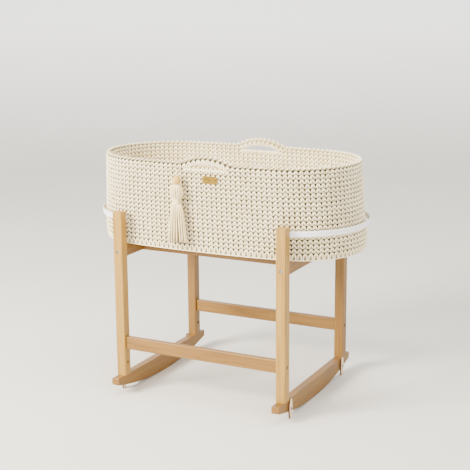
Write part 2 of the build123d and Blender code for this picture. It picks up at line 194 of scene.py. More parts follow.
# ---- webbing bands round the basket's ends ----
# Flat white woven webbing, 17 mm wide and 2 mm thick. It is folded under and screwed to the inner
# faces of the legs, and runs round each end of the basket, 4 mm clear of the stitches.


def quad_mesh(name, points, quads, uv=None, tuck_shade=None):
    """A mesh of quads from whole arrays. Faces are all turned over if the signed volume is negative."""
    points = np.asarray(points, dtype=np.float64).reshape(-1, 3)
    quads = np.asarray(quads, dtype=np.int32).reshape(-1, 4)
    corner = points[quads]
    first = np.einsum("ij,ij->i", corner[:, 0], np.cross(corner[:, 1], corner[:, 2]))
    second = np.einsum("ij,ij->i", corner[:, 0], np.cross(corner[:, 2], corner[:, 3]))
    if (first + second).sum() < 0:
        quads = quads[:, ::-1]
    mesh = bpy.data.meshes.new(name)
    mesh.vertices.add(len(points))
    mesh.vertices.foreach_set("co", points.ravel())
    mesh.loops.add(quads.size)
    mesh.loops.foreach_set("vertex_index", quads.ravel())
    mesh.polygons.add(len(quads))
    mesh.polygons.foreach_set("loop_start", np.arange(0, quads.size, 4, dtype=np.int32))
    if uv is not None:
        layer = mesh.uv_layers.new(name="UVMap")
        layer.data.foreach_set("uv", np.asarray(uv).reshape(-1, 2)[quads.ravel()].ravel())
    if tuck_shade is not None:
        layer = mesh.attributes.new("tuck_shade", "FLOAT", "POINT")
        layer.data.foreach_set("value", np.asarray(tuck_shade, dtype=np.float64).ravel())
    mesh.update(calc_edges=True)
    mesh.validate()
    mesh.polygons.foreach_set("use_smooth", np.ones(len(mesh.polygons), dtype=bool))
    obj = bpy.data.objects.new(name, mesh)
    bpy.context.scene.collection.objects.link(obj)
    return obj


def tube_quads(count, rings, sides):
    """Quads of count tubes, each rings by sides points: its walls, and two quads over each six-sided end."""
    ring, side = np.meshgrid(np.arange(rings - 1), np.arange(sides), indexing="ij")
    after = (side + 1) % sides
    wall = np.stack([ring * sides + side, ring * sides + after, (ring + 1) * sides + after,
                     (ring + 1) * sides + side], -1).reshape(-1, 4)
    strip = np.arange(sides // 2 - 1)
    cap = np.stack([strip, sides - 1 - strip, sides - 2 - strip, strip + 1], -1)
    far = cap[:, ::-1] + (rings - 1) * sides
    one = np.concatenate([wall, cap, far])
    return (one[None] + (np.arange(count) * rings * sides)[:, None, None]).reshape(-1, 4)


def closed_ring_quads(rings, sides):
    """Quads of one closed section of sides points carried round a closed loop of rings places."""
    ring, side = np.meshgrid(np.arange(rings), np.arange(sides), indexing="ij")
    on, after = (ring + 1) % rings, (side + 1) % sides
    return np.stack([ring * sides + side, ring * sides + after, on * sides + after, on * sides + side], -1)


def box(node):
    """A node's lowest and highest corners."""
    low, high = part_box(node)
    return np.array(low), np.array(high)


def dress(obj, material, body):
    """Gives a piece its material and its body."""
    obj.data.materials.append(material)
    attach(obj, body)
    return obj


webbing, tree, shader = start_material("woven_white_webbing", Roughness=0.75, Sheen_Weight=0.3,
                                       Sheen_Roughness=0.5)
# a wave texture repeats 20 times to the unit; the threads lie 1.4 mm apart
WAVE_STEP = 20
uv = add(tree, "ShaderNodeUVMap", uv_map="UVMap").outputs[0]
threads = [add(tree, "ShaderNodeTexWave", {"Vector": uv, "Scale": 1 / (1.4 * MM) / WAVE_STEP},
               bands_direction=way).outputs["Fac"] for way in ("X", "Y")]
weave = maths(tree, "MULTIPLY", *threads)
tree.links.new(ramp(tree, weave, (0.0, "e9e6e6"), (0.8, "f9f7f8")), shader.inputs["Base Color"])
bump(tree, shader, weave, 0.5, 0.3 * MM)

band_low, band_high = box("end_band_right")
HALF_THICK = 1 * MM
LEG_SIDE = 30 * MM
tab_x = band_low[0] + 0.1 * MM
band_corner_x = tab_x + LEG_SIDE
band_tab_y = band_high[1] - HALF_THICK - 0.1 * MM
band_reach = band_high[0] - HALF_THICK
band_centre = (band_corner_x**2 + band_tab_y**2 - band_reach**2) / (2 * (band_corner_x - band_reach))
band_radius = band_reach - band_centre
turn = math.atan2(band_tab_y, band_corner_x - band_centre)
arc = np.linspace(-turn, turn, 73)
path = np.stack([band_centre + band_radius * np.cos(arc), band_radius * np.sin(arc)], -1)
tab = np.stack([np.linspace(tab_x, band_corner_x, 9)[:-1], np.full(8, -band_tab_y)], -1)
path = np.concatenate([tab, path, tab[::-1] * (1, -1)])
step = np.gradient(path, axis=0)
side_way = np.stack([step[:, 1], -step[:, 0]], -1) / np.linalg.norm(step, axis=1)[:, None]
run = np.concatenate([[0], np.cumsum(np.linalg.norm(np.diff(path, axis=0), axis=1))])
band_half = (band_high[2] - band_low[2]) / 2
band_mid = (band_high[2] + band_low[2]) / 2
# the section is a flat strip with round edges: sin^0.6 of the half width by cos^0.35 of the half thickness
SECTION = 20
section_angle = np.linspace(0, 2 * math.pi, SECTION, endpoint=False)
across = np.sign(np.sin(section_angle)) * np.abs(np.sin(section_angle)) ** 0.6 * band_half
thick = np.sign(np.cos(section_angle)) * np.abs(np.cos(section_angle)) ** 0.35 * 0.95 * HALF_THICK
for sign, side in ((-1, "left"), (1, "right")):
    grid = np.empty((len(path), SECTION, 3))
    grid[..., 0] = sign * (path[:, None, 0] + thick * side_way[:, None, 0])
    grid[..., 1] = path[:, None, 1] + thick * side_way[:, None, 1]
    grid[..., 2] = band_mid + across
    uv = np.stack(np.broadcast_arrays(run[:, None], across + 0 * run[:, None]), -1)
    band = quad_mesh(f"webbing_band_{side}", grid, tube_quads(1, len(path), SECTION), uv)
    dress(band, webbing, "stand")
    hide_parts(f"end_band_{side}")

# ---- basket floor ----
# An oval of 6 mm birch plywood, sanded, with holes round its edge that the first row of cord is
# worked through.
floor_ply, tree, shader = start_material("sanded_birch_plywood", Roughness=0.6, IOR=1.5)
grain = noise(tree, (180 * MM, 9 * MM, 2 * MM), 4.0, Distortion=0.6)
colour = ramp(tree, grain, (0.3, "c9a675"), (0.5, "dabb8c"), (0.7, "e8cfa6"))
tree.links.new(colour, shader.inputs["Base Color"])
bump(tree, shader, grain, 0.2, 0.3 * MM)
paint("base_board", floor_ply)

# ---- crocheted wall ----
# Thick braided cotton cord worked round and round from the board up, 134 stitches to a round.
# Each stitch shows as a V of two fat lobes, outside and inside, over cord in the middle painted darker, as
# shade.
wall_low, wall_high = box("basket_wall")
half_width = (wall_high[1] - wall_low[1]) / 2
floor_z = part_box("base_board")[0][2]
rim_z = wall_high[2]
SIDE_BOW = 10 * MM
# the wall's outline at each height over the board's underside: half length, and shift along X
WALL_HEIGHTS = np.array([0, 6, 39, 84, 264, 288]) * MM
WALL_HALF_LENGTHS = np.array([417, 417.5, 420, 415.5, 406, 404.5]) * MM
WALL_SHIFTS = np.array([0, 0, 0, -2.5, -7, -7.5]) * MM
STITCHES = 134
ROW_HEIGHT = 12.8 * MM
BORDER = 20 * MM


def round_wall(turn, z, out):
    """A point on the wall: turn of the way round from the front's middle towards +X, at height z,
    and out along the normal. The outline is four tangent arcs, and the normal's angle grows by
    distance over radius along each."""
    height = z - floor_z
    a = np.interp(height, WALL_HEIGHTS, WALL_HALF_LENGTHS)
    shift = np.interp(height, WALL_HEIGHTS, WALL_SHIFTS)
    end_radius = half_width - SIDE_BOW
    end_x = a - end_radius
    drop = (end_x**2 - SIDE_BOW**2) / (2 * SIDE_BOW)
    side_radius = drop + half_width
    split = np.arctan2(drop, end_x)
    half_side = side_radius * (math.pi / 2 - split)
    end_arc = 2 * end_radius * split
    s = (turn % 1.0) * (4 * half_side + 2 * end_arc)
    marks = [0, half_side, half_side + end_arc, 3 * half_side + end_arc, 3 * half_side + 2 * end_arc]
    angle = -math.pi / 2 + np.clip(s, 0, half_side) / side_radius
    angle += np.clip(s - marks[1], 0, end_arc) / end_radius
    angle += np.clip(s - marks[2], 0, 2 * half_side) / side_radius
    angle += np.clip(s - marks[3], 0, end_arc) / end_radius
    angle += np.clip(s - marks[4], 0, half_side) / side_radius
    part = sum((s > mark).astype(int) for mark in marks[1:])
    centre_x = np.select([part == 1, part == 3], [end_x, -end_x], 0.0)
    centre_y = np.select([part == 2, (part == 0) | (part == 4)], [-drop, drop], 0.0)
    radius = np.where((part == 1) | (part == 3), end_radius, side_radius) + out
    x = shift + centre_x + radius * np.cos(angle)
    return np.stack([x, centre_y + radius * np.sin(angle), z + 0 * out], -1)


def girth(z):
    """The wall's length round at height z, measured on a fine polygon."""
    ring = round_wall(np.linspace(0, 1, 721), np.full(721, z), np.zeros(721))
    return np.linalg.norm(np.diff(ring, axis=0), axis=1).sum()


# all rounds have the stitch width of the round half way up
PITCH = girth(floor_z + 150 * MM) / STITCHES
rng = np.random.default_rng(7)


def lobes(u, v, out, radius, flat, sides):
    """Tubes about centre lines given in wall coordinates: u round, v up and out from the wall, each an
    array of lobe by ring. The section is r(cos t · across + flat · sin t · out)."""
    du, dv = np.gradient(u, axis=1), np.gradient(v, axis=1)
    size = np.hypot(du, dv)
    t = np.linspace(0, 2 * math.pi, sides, endpoint=False) + math.pi / sides
    reach = radius[..., None] * np.cos(t)
    tube_u = u[..., None] - reach * (dv / size)[..., None]
    tube_v = v[..., None] + reach * (du / size)[..., None]
    tube_out = out[..., None] + flat * radius[..., None] * np.sin(t)
    return tube_u, tube_v, tube_out


def lobe_uv(tubes, rings, sides, length):
    """Each lobe's own coordinates in metres: along it, and around it."""
    along, around = np.meshgrid(np.linspace(0, length, rings), np.linspace(0, length, sides), indexing="ij")
    start = rng.uniform(0, 0.5, tubes)[:, None, None]
    return np.stack([along[None] + start, around[None] + start], -1)


def cord_material(name, crest, shade, gap_shade_and_fuzz, twist):
    """Braided cotton cord: matt, fuzzy, paler on the crests where light catches the fibre, and painted
    darker, as shade, where it tucks under. The braid is drawn as slanting ridges twist metres apart."""
    material, tree, shader = start_material(name, Roughness=0.9, Sheen_Weight=0.25, Sheen_Roughness=0.6,
                                            Specular_IOR_Level=0.2)
    uv = add(tree, "ShaderNodeUVMap", uv_map="UVMap").outputs[0]
    slant = {"Vector": uv, "Scale": 1 / twist / WAVE_STEP, "Distortion": 1.5, "Detail": 2.0}
    braid = add(tree, "ShaderNodeTexWave", slant, bands_direction="DIAGONAL").outputs["Fac"]
    drift = noise(tree, 35 * MM, 3.0)
    fuzz = noise(tree, 1.2 * MM, 2.0)
    tuck_shade = add(tree, "ShaderNodeAttribute", attribute_name="tuck_shade").outputs["Fac"]
    top = ramp(tree, drift, (0.35, shade), (0.65, crest))
    # painted shade: the colour is mixed towards the gap colour where the cord lies tucked under
    colour = mix(tree, ramp(tree, tuck_shade, (0.35, "000000"), (1.0, "ffffff")), top, linear(gap_shade_and_fuzz))
    low = maths(tree, "MULTIPLY", fuzz, 0.14)
    tree.links.new(mix(tree, low, colour, linear(gap_shade_and_fuzz)), shader.inputs["Base Color"])
    bump(tree, shader, maths(tree, "ADD", braid, fuzz), 0.6, 0.5 * MM)
    return material


crochet = cord_material("braided_cotton_cord", "f9eac3", "f0dfb2", "8f7f55", 2.2 * MM)
# the inside is the same cord painted paler, with a paler gap colour: painted light on the basket's inner
# wall
inside_crochet_lit = cord_material("braided_cotton_cord_inside_painted_light", "fff2cd", "fae6b8", "bda878", 2.2 * MM)

# the cord behind the stitches shows in the gaps in painted shade: mid beige, with a dark painted shadow in
# the eye of each V, which sits at the middle of each stitch in the wall's own coordinates, counted in
# stitches and rows.
# Where a face looks in towards the middle, so that its normal and its place oppose, all of it is painted
# paler, as painted light
shaded_core_cord, tree, shader = start_material("cord_in_the_gaps_painted_shade", Roughness=0.95, Specular_IOR_Level=0.1)
where = add(tree, "ShaderNodeTexCoord")
spot = {0: where.outputs["Object"], 1: (1.0, 1.0, 0.0)}
level = add(tree, "ShaderNodeVectorMath", spot, operation="MULTIPLY").outputs[0]
both = {0: level, 1: where.outputs["Normal"]}
outward = add(tree, "ShaderNodeVectorMath", both, operation="DOT_PRODUCT").outputs["Value"]
faces_out = maths(tree, "GREATER_THAN", outward)
strands = noise(tree, 3 * MM, 2.0)
uv = add(tree, "ShaderNodeUVMap", uv_map="UVMap").outputs[0]
cells = {"Vector": uv, "Scale": 1.0, "Randomness": 0.0}
from_eye = add(tree, "ShaderNodeTexVoronoi", cells, voronoi_dimensions="2D").outputs["Distance"]
past_eye = ramp(tree, from_eye, (0.2, "000000"), (0.5, "ffffff"))
between = mix(tree, faces_out, linear("d6c69c"), ramp(tree, strands, (0.3, "94865f"), (0.7, "b1a27a")))
eye_shadow = mix(tree, faces_out, linear("9c8b60"), linear("4c4331"))
tree.links.new(mix(tree, past_eye, eye_shadow, between), shader.inputs["Base Color"])
bump(tree, shader, strands, 0.8, 1 * MM)

OUTER_DEPTH = -3.4 * MM
INNER_DEPTH = -9.6 * MM
WALL_MIDDLE = -6.5 * MM
BULGE = 1.6 * MM
LOBE_FAT = 2.85 * MM
LOBE_TUCK_SHADE = 4.2 * MM
LOBE_RINGS = 6
LOBE_SIDES = 6


def stitch_row(middle_z, height, depth, bulge, fat, keep=None, lift=None):
    """One round of V stitches. Each lobe leans from the V's foot to its top: u = side(0.07 + 0.42 p)
    of a pitch, v = (0.96 p - 0.50) of the row's height, out = depth + bulge sin(pi p), and its radius
    is fat(0.4 + 0.6 sin(pi p)^0.7)."""
    count = np.repeat(np.arange(STITCHES), 2)
    side = np.tile([-1.0, 1.0], STITCHES)
    if keep is not None:
        chosen = keep[count]
        count, side = count[chosen], side[chosen]
    p = np.linspace(0, 1, LOBE_RINGS)[None]
    arch = np.sin(math.pi * np.clip(p, 0.02, 0.98))
    swing = rng.normal(0, 0.02, (len(count), 1))
    u = (count[:, None] + 0.5) * PITCH + side[:, None] * (0.07 + 0.42 * p + swing) * PITCH
    v = (0.96 * p - 0.50 + rng.normal(0, 0.03, (len(count), 1))) * height
    out = depth + bulge * arch + rng.normal(0, 0.15 * MM, (len(count), 1))
    radius = fat * (0.4 + 0.6 * arch**0.7) * rng.uniform(0.95, 1.05, (len(count), 1))
    tube_u, tube_v, tube_out = lobes(u, v, out, radius, 0.8, LOBE_SIDES)
    turn_at = tube_u / (PITCH * STITCHES)
    z = middle_z + tube_v
    points = round_wall(turn_at, z, tube_out)
    if lift is not None:
        points[..., 2] += lift(points, tube_v / height + 0.5)
    # painted shade: the deeper a lobe's surface lies below its crest, the darker it is painted
    buried = np.sign(bulge) * (depth + bulge - tube_out) / LOBE_TUCK_SHADE
    return points, np.clip(buried, 0, 1), len(count)


def crochet_piece(name, rows, cord=crochet):
    """Joins the rows of one side of the wall into one piece."""
    points = np.concatenate([row[0].reshape(-1, 3) for row in rows])
    tuck_shade = np.concatenate([row[1].ravel() for row in rows])
    tubes = sum(row[2] for row in rows)
    uv = lobe_uv(tubes, LOBE_RINGS, LOBE_SIDES, 16 * MM)
    piece = quad_mesh(name, points, tube_quads(tubes, LOBE_RINGS, LOBE_SIDES), uv, tuck_shade)
    return dress(piece, cord, "basket")


first_row_top = floor_z + 10 * MM
last_row_top = rim_z - BORDER
row_count = round((last_row_top - first_row_top) / ROW_HEIGHT)
row_step = (last_row_top - first_row_top) / row_count
row_middles = first_row_top + (np.arange(row_count) + 0.5) * row_step
for label, depth, bulge, cord in (("outer", OUTER_DEPTH, BULGE, crochet),
                                  ("inner", INNER_DEPTH, -BULGE, inside_crochet_lit)):
    for group in np.array_split(np.arange(row_count), 4):
        rows = [stitch_row(row_middles[i], row_step, depth, bulge, LOBE_FAT) for i in group]
        crochet_piece(f"crochet_wall_{label}_{group[0] + 1}", rows, cord)
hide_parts("basket_wall")


def wall_ring(name, section, row_z, lift=None):
    """The core of the wall: a closed section of (height, out) points carried all the way round. Its
    own coordinates count stitches and rows, whole at the eye of each V, where row_z is one eye's height."""
    places = 3 * STITCHES
    turn_at = np.repeat(np.arange(places)[:, None] / places, len(section), 1)
    z = np.broadcast_to(np.array(section)[:, 0], turn_at.shape)
    out = np.broadcast_to(np.array(section)[:, 1], turn_at.shape)
    points = round_wall(turn_at, z, out)
    if lift is not None:
        points[..., 2] += lift(points, (z - (rim_z - BORDER)) / BORDER)
    uv = np.stack([turn_at * STITCHES - 0.5, (z - row_z) / row_step], -1)
    ring = quad_mesh(name, points, closed_ring_quads(places, len(section)), uv)
    return dress(ring, shaded_core_cord, "basket")


def core_section(heights, outer, inner):
    """A section that goes up the outer face and down the inner one."""
    return [(z, outer) for z in heights] + [(z, inner) for z in heights[::-1]]


CORE_OUT, CORE_IN = -4.2 * MM, -8.8 * MM
EYE_UP_ROW = 0.68
heights = np.linspace(first_row_top - 6 * MM, last_row_top, 12)
wall_ring("wall_core", core_section(heights, CORE_OUT, CORE_IN), first_row_top + EYE_UP_ROW * row_step)

# ---- first round of cord, worked through the board's holes ----
# The same cord, carried as loops down through the holes and back over the board's edge, so that a
# row of open eyes shows just above the board, one to each stitch.
POST_RINGS = 8
POST_RADIUS = 2.4 * MM


def first_round(depth):
    """Two upright cords between one eye and the next, fanned out a little at the top, so that
    u = number plus (0.5 + side(0.12 + 0.1 p)) of a pitch."""
    p = np.linspace(0, 1, POST_RINGS)[None]
    number = np.repeat(np.arange(STITCHES), 2)[:, None]
    side = np.tile([-1.0, 1.0], STITCHES)[:, None]
    u = (number + 0.5 + side * (0.12 + 0.1 * p)) * PITCH
    v = floor_z + 1.5 * MM + 10 * MM * p + 0 * u
    out = depth + 1.0 * MM * np.sin(math.pi * p) + 0 * u
    tube_u, tube_v, tube_out = lobes(u, v, out, np.full(u.shape, POST_RADIUS), 0.9, LOBE_SIDES)
    return round_wall(tube_u / (PITCH * STITCHES), tube_v, tube_out)


def edge_round(z_at, depth, radius, name, wave):
    """A cord that runs right round the basket, lower by wave at the middle between two eyes."""
    places, sides = 4 * STITCHES, 8
    turn_at = np.arange(places)[:, None] / places
    t = np.linspace(0, 2 * math.pi, sides, endpoint=False)
    z = z_at + wave * np.cos(2 * math.pi * turn_at * STITCHES) + radius * np.sin(t)
    points = round_wall(turn_at + 0 * t, z, depth + 0.9 * radius * np.cos(t) + 0 * z)
    uv = np.stack(np.broadcast_arrays(turn_at * PITCH * STITCHES, t * radius), -1)
    # painted shade: the cord is painted a little darker on its inner side
    tuck_shade = np.broadcast_to(0.4 * np.clip(0.5 - 0.5 * np.cos(t), 0, 1), z.shape)
    piece = quad_mesh(name, points, closed_ring_quads(places, sides), uv, tuck_shade)
    return dress(piece, crochet, "basket")


points = np.stack([first_round(depth) for depth in (-3.9 * MM, -9.1 * MM)])
count = 2 * 2 * STITCHES
uv = lobe_uv(count, POST_RINGS, LOBE_SIDES, 18 * MM)
tuck_shade = np.full(points.shape[:-1], 0.1)
posts = quad_mesh("first_round_posts", points, tube_quads(count, POST_RINGS, LOBE_SIDES), uv, tuck_shade)
dress(posts, crochet, "basket")
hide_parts("foundation_row")
edge_round(floor_z + 1.7 * MM, -2.4 * MM, 1.7 * MM, "first_round_edge", -0.3 * MM)
edge_round(floor_z + 11.6 * MM, WALL_MIDDLE, 2.7 * MM, "first_round_top", 0.6 * MM)

# the cord inside the first round lies in shadow, so all of it has the eyes' dark colour
section = core_section(floor_z + np.array([1.5, 6, 10.5]) * MM, -5.6 * MM, -7.4 * MM)
dark_round = wall_ring("first_round_core", section, floor_z)
dark_round.data.uv_layers[0].data.foreach_set("uv", np.zeros(2 * len(dark_round.data.loops)))

# ---- border and the two carry handles ----
# Two rounds of the cord finish the rim: a round of stitches, and a round of chain on top that reads
# as a braid. At the middle of each long side they lift off the wall in an arch to make a handle.
handle_low, handle_high = box("handle_front")
front_middle = (handle_low[0] + handle_high[0]) / 2
rear_low, rear_high = box("handle_rear")
rear_middle = (rear_low[0] + rear_high[0]) / 2
HANDLE_HALF = (handle_high[0] - handle_low[0]) / 2
SLOT_HALF = HANDLE_HALF - 20 * MM
SLOT_RISE = 17 * MM
HANDLE_RISE = handle_high[2] - rim_z


def handle_offset(points):
    """Each point's distance along X from the middle of the handle on its side."""
    return points[..., 0] - np.where(points[..., 1] < 0, front_middle, rear_middle)


def handle_lift(points, share):
    """How far the border lifts off the wall: a circular arc's height, r - sqrt of r squared less x
    squared, from the slot's arc at the border's foot to the handle's arc at its top."""
    x = np.abs(handle_offset(points))

    def arc_height(half, rise):
        radius = (half**2 + rise**2) / (2 * rise)
        return np.maximum(np.sqrt(np.maximum(radius**2 - x**2, 0)) - (radius - rise), 0) * (x < half)

    share = np.clip(share, 0, 1)
    return (1 - share) * arc_height(SLOT_HALF, SLOT_RISE) + share * arc_height(HANDLE_HALF, HANDLE_RISE)


turn_at = (np.arange(STITCHES) + 0.5) / STITCHES
stitch_middles = round_wall(turn_at, np.full(STITCHES, rim_z), np.zeros(STITCHES))
on_handle = np.abs(handle_offset(stitch_middles)) < HANDLE_HALF
on_front = stitch_middles[:, 1] < 0


def braid(keep):
    """The chain on top: for each stitch two slanting lobes, one on each face, that climb from the
    border's face to the rim's middle: u = (0.86 p - 0.43) pitch, and in and up with p by 2.6 and 6.4 mm."""
    number = np.arange(STITCHES)[keep]
    pieces = []
    for sign in (1, -1):
        p = np.linspace(0, 1, LOBE_RINGS)[None]
        arch = np.sin(math.pi * np.clip(p, 0.03, 0.97))
        u = (number[:, None] + 0.5 + 0.86 * p - 0.43 + rng.normal(0, 0.02, (len(number), 1))) * PITCH
        out = WALL_MIDDLE + sign * (4.6 - 2.6 * p) * MM + 0 * u
        v = rim_z - 9.4 * MM + 6.4 * MM * p + 0.2 * MM * arch + 0 * u
        radius = 2.7 * MM * (0.45 + 0.55 * arch**0.6) + 0 * u
        t = np.linspace(0, 2 * math.pi, LOBE_SIDES, endpoint=False) + math.pi / LOBE_SIDES
        tube_v = v[..., None] + radius[..., None] * 0.9 * np.sin(t)
        tube_out = out[..., None] + radius[..., None] * np.cos(t)
        tube_u = u[..., None] - 0.2 * radius[..., None] * np.cos(t)
        points = round_wall(tube_u / (PITCH * STITCHES), tube_v, tube_out)
        points[..., 2] += handle_lift(points, (tube_v - (rim_z - BORDER)) / BORDER)
        # painted shade: each braid lobe is painted darker towards its lower end, down to 10 mm under the rim
        sunk_shade = np.clip((rim_z - 1 * MM - tube_v) / (9 * MM), 0, 1)
        pieces.append((points, sunk_shade, len(number)))
    return pieces


def border_lift(points, share):
    """The lift for a row that fills the border's lower half."""
    return handle_lift(points, 0.5 * share)


BORDER_ROW = 10 * MM
BORDER_FAT = 2.9 * MM
row_middle = rim_z - BORDER + 4.6 * MM
for name, keep in (("rim_border", ~on_handle), ("handle_front_cord", on_handle & on_front),
                   ("handle_rear_cord", on_handle & ~on_front)):
    rows = [stitch_row(row_middle, BORDER_ROW, depth, bulge, BORDER_FAT, keep, border_lift)
            for depth, bulge in ((OUTER_DEPTH + 0.4 * MM, BULGE), (INNER_DEPTH - 0.4 * MM, -BULGE))]
    piece = crochet_piece(name, rows + braid(keep))
    if name != "rim_border":
        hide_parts(name.removesuffix("_cord"))
section = core_section(rim_z - BORDER + np.array([1, 7, 14]) * MM, CORE_OUT, CORE_IN)
wall_ring("border_core", section, rim_z - 11.6 * MM, handle_lift)


def slot_cord(name, front, share, drop):
    """A smooth cord along a handle's slot, from one end of it to the other, at the border's foot plus
    the arch's height there times share, and drop below it."""
    places, sides = 33, 8
    x = np.linspace(-SLOT_HALF, SLOT_HALF, places)[None]
    foot = rim_z - BORDER
    around = PITCH * STITCHES
    shift = np.interp(foot - floor_z, WALL_HEIGHTS, WALL_SHIFTS)
    along = (front_middle if front else rear_middle) - shift + x
    turn_at = along / around if front else 0.5 - along / around
    parts = []
    for out in (-3.6 * MM, -9.4 * MM):
        line = (turn_at * around, foot - drop + 0 * x, out + 0 * x)
        tube_u, tube_v, tube_out = lobes(*line, 2.7 * MM + 0 * x, 0.9, sides)
        points = round_wall(tube_u / around, tube_v, tube_out)
        points[..., 2] += share * handle_lift(points, 0 * tube_v)
        parts.append(points.reshape(-1, 3))
    uv = lobe_uv(2, places, sides, 160 * MM)
    points = np.concatenate(parts)
    piece = quad_mesh(name, points, tube_quads(2, places, sides), uv, np.zeros(len(points)))
    return dress(piece, crochet, "basket")


for front, side in ((True, "front"), (False, "rear")):
    slot_cord(f"handle_{side}_under_cord", front, 1.0, -1.0 * MM)
    slot_cord(f"handle_{side}_sill_cord", front, 0.0, 2.4 * MM)

# ---- label ----
# A blank plate of 0.8 mm brass with clipped corners, brushed along its length and held by two rivets
# through the wall.
brass, tree, shader = start_material("brushed_brass", Metallic=1.0, Roughness=0.34)
strokes = noise(tree, (14 * MM, 1 * MM, 0.5 * MM), 2.0)
tree.links.new(ramp(tree, strokes, (0.38, "57431a"), (0.62, "b3913f")), shader.inputs["Base Color"])
bump(tree, shader, strokes, 0.3, 0.1 * MM)
paint("label_plate", brass)
paint("label_rivets", brass)

# ---- mattress ----
# An oval foam pad in a white cotton cover, loose on the board, crowned on top and with a piped seam
# round its edge.
cotton, tree, shader = start_material("mattress_cotton_sateen", Roughness=0.85, Sheen_Weight=0.3,
                                      Sheen_Roughness=0.5, Specular_IOR_Level=0.25)
threads = noise(tree, (6 * MM, 1.2 * MM, 3 * MM), 3.0)
tree.links.new(ramp(tree, threads, (0.3, "efece5"), (0.7, "fbfaf6")), shader.inputs["Base Color"])
bump(tree, shader, threads, 0.4, 0.3 * MM)
pad_low, pad_high = box("mattress")
pad_half = (pad_high - pad_low) / 2
pad_middle = (pad_high + pad_low) / 2


def pad_surface(across, down, shrink):
    """The pad's skin, for v from -90 to 90 degrees: an oval outline scaled by cos(v)^0.22, at a height
    of 0.9 sin(v)^0.55 of the half height, which rounds the edges and crowns the top."""
    turn_at = np.linspace(0, 1, across, endpoint=False)
    outline = round_wall(turn_at, np.full(across, floor_z), np.zeros(across))[:, :2]
    outline = outline / np.abs(outline).max(axis=0) * pad_half[:2] * shrink
    v = np.linspace(-math.pi / 2, math.pi / 2, down)
    scale = np.sign(np.cos(v)) * np.abs(np.cos(v)) ** 0.22
    rise = np.sign(np.sin(v)) * np.abs(np.sin(v)) ** 0.55 * pad_half[2] * 0.9
    grid = np.empty((down, across, 3))
    grid[..., :2] = outline[None] * np.maximum(scale, 0.02)[:, None, None] + pad_middle[:2]
    grid[..., 2] = pad_middle[2] + rise[:, None]
    return grid


PAD_GRID = (96, 24)
grid = pad_surface(*PAD_GRID, 0.985)
pad = quad_mesh("mattress_pad", grid, tube_quads(1, PAD_GRID[1], PAD_GRID[0]))
bpy.context.view_layer.objects.active = pad
pad.select_set(True)
remesh = pad.modifiers.new("voxels", "REMESH")
remesh.mode = "VOXEL"
remesh.voxel_size = 8 * MM
bpy.ops.object.modifier_apply(modifier="voxels")
rest = np.empty(len(pad.data.vertices) * 3)
pad.data.vertices.foreach_get("co", rest)
cloth = pad.modifiers.new("cover", "CLOTH")
cloth.settings.use_pressure = True
cloth.settings.uniform_pressure_force = 4
cloth.settings.effector_weights.gravity = 0
for number in range(1, 21):
    bpy.context.scene.frame_set(number)
evaluated = pad.evaluated_get(bpy.context.evaluated_depsgraph_get())
blown = np.empty(len(rest))
evaluated.data.vertices.foreach_get("co", blown)
pad.modifiers.clear()
move = (blown - rest).reshape(-1, 3)
size = np.linalg.norm(move, axis=1, keepdims=True)
furthest = 3 * MM
settled = rest.reshape(-1, 3) + move * np.minimum(1, furthest / np.maximum(size, 1e-9))
settled = np.clip(settled, pad_low + 0.2 * MM, pad_high)
pad.data.vertices.foreach_set("co", settled.ravel())
bpy.context.scene.frame_set(1)
pad.data.polygons.foreach_set("use_smooth", np.ones(len(pad.data.polygons), dtype=bool))
smoother = pad.modifiers.new("smooth", "SUBSURF")
smoother.levels = smoother.render_levels = 1
dress(pad, cotton, "mattress")
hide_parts("mattress")

# the cover's two halves meet in a piped seam half way up its side
PIPING_RADIUS = 2.0 * MM
places, sides = 240, 8
turn_at = np.linspace(0, 1, places, endpoint=False)
outline = round_wall(turn_at, np.full(places, floor_z), np.zeros(places))[:, :2]
outline = outline / np.abs(outline).max(axis=0) * (pad_half[:2] - PIPING_RADIUS)
along = np.roll(outline, -1, axis=0) - np.roll(outline, 1, axis=0)
outward = np.stack([along[:, 1], -along[:, 0]], -1) / np.linalg.norm(along, axis=1, keepdims=True)
t = np.linspace(0, 2 * math.pi, sides, endpoint=False)
grid = np.empty((places, sides, 3))
grid[..., :2] = pad_middle[:2] + outline[:, None] + PIPING_RADIUS * np.cos(t)[:, None] * outward[:, None]
grid[..., 2] = pad_middle[2] + PIPING_RADIUS * np.sin(t)
piping = quad_mesh("mattress_piping", grid, closed_ring_quads(places, sides))
dress(piping, cotton, "mattress")

# ---- tassel ----
# Soft cotton yarn hung by a short cord from the wall: a turned beech bead, a gathered head, a neck
# bound with yarn, and a skirt of loose strands.
yarn = cord_material("soft_cotton_yarn", "f6e0ac", "ecd39c", "6a5630", 2.4 * MM)
bead_low, bead_high = box("tassel_bead")
hang_x, hang_y = (bead_low[:2] + bead_high[:2]) / 2
head_low, head_high = box("tassel_head")
bind_low, bind_high = box("tassel_binding")
skirt_low, skirt_high = box("tassel_skirt")
loop_low, loop_high = box("tassel_cord")


def strand_tubes(line, radius, sides):
    """Round tubes about lines in space, tube by ring by xyz. Across is the line's direction crossed
    with a fixed one, and the section is r(cos t · across + sin t · the other)."""
    along = np.gradient(line, axis=1)
    along = along / np.linalg.norm(along, axis=2, keepdims=True)
    fixed = np.where(np.abs(along[..., 1:2]) < 0.9, [0.0, 1.0, 0.0], [1.0, 0.0, 0.0])
    across = np.cross(along, fixed)
    across = across / np.linalg.norm(across, axis=2, keepdims=True)
    other = np.cross(along, across)
    t = np.linspace(0, 2 * math.pi, sides, endpoint=False)
    ring = across[:, :, None] * np.cos(t)[:, None] + other[:, :, None] * np.sin(t)[:, None]
    return line[:, :, None] + radius[:, :, None, None] * ring


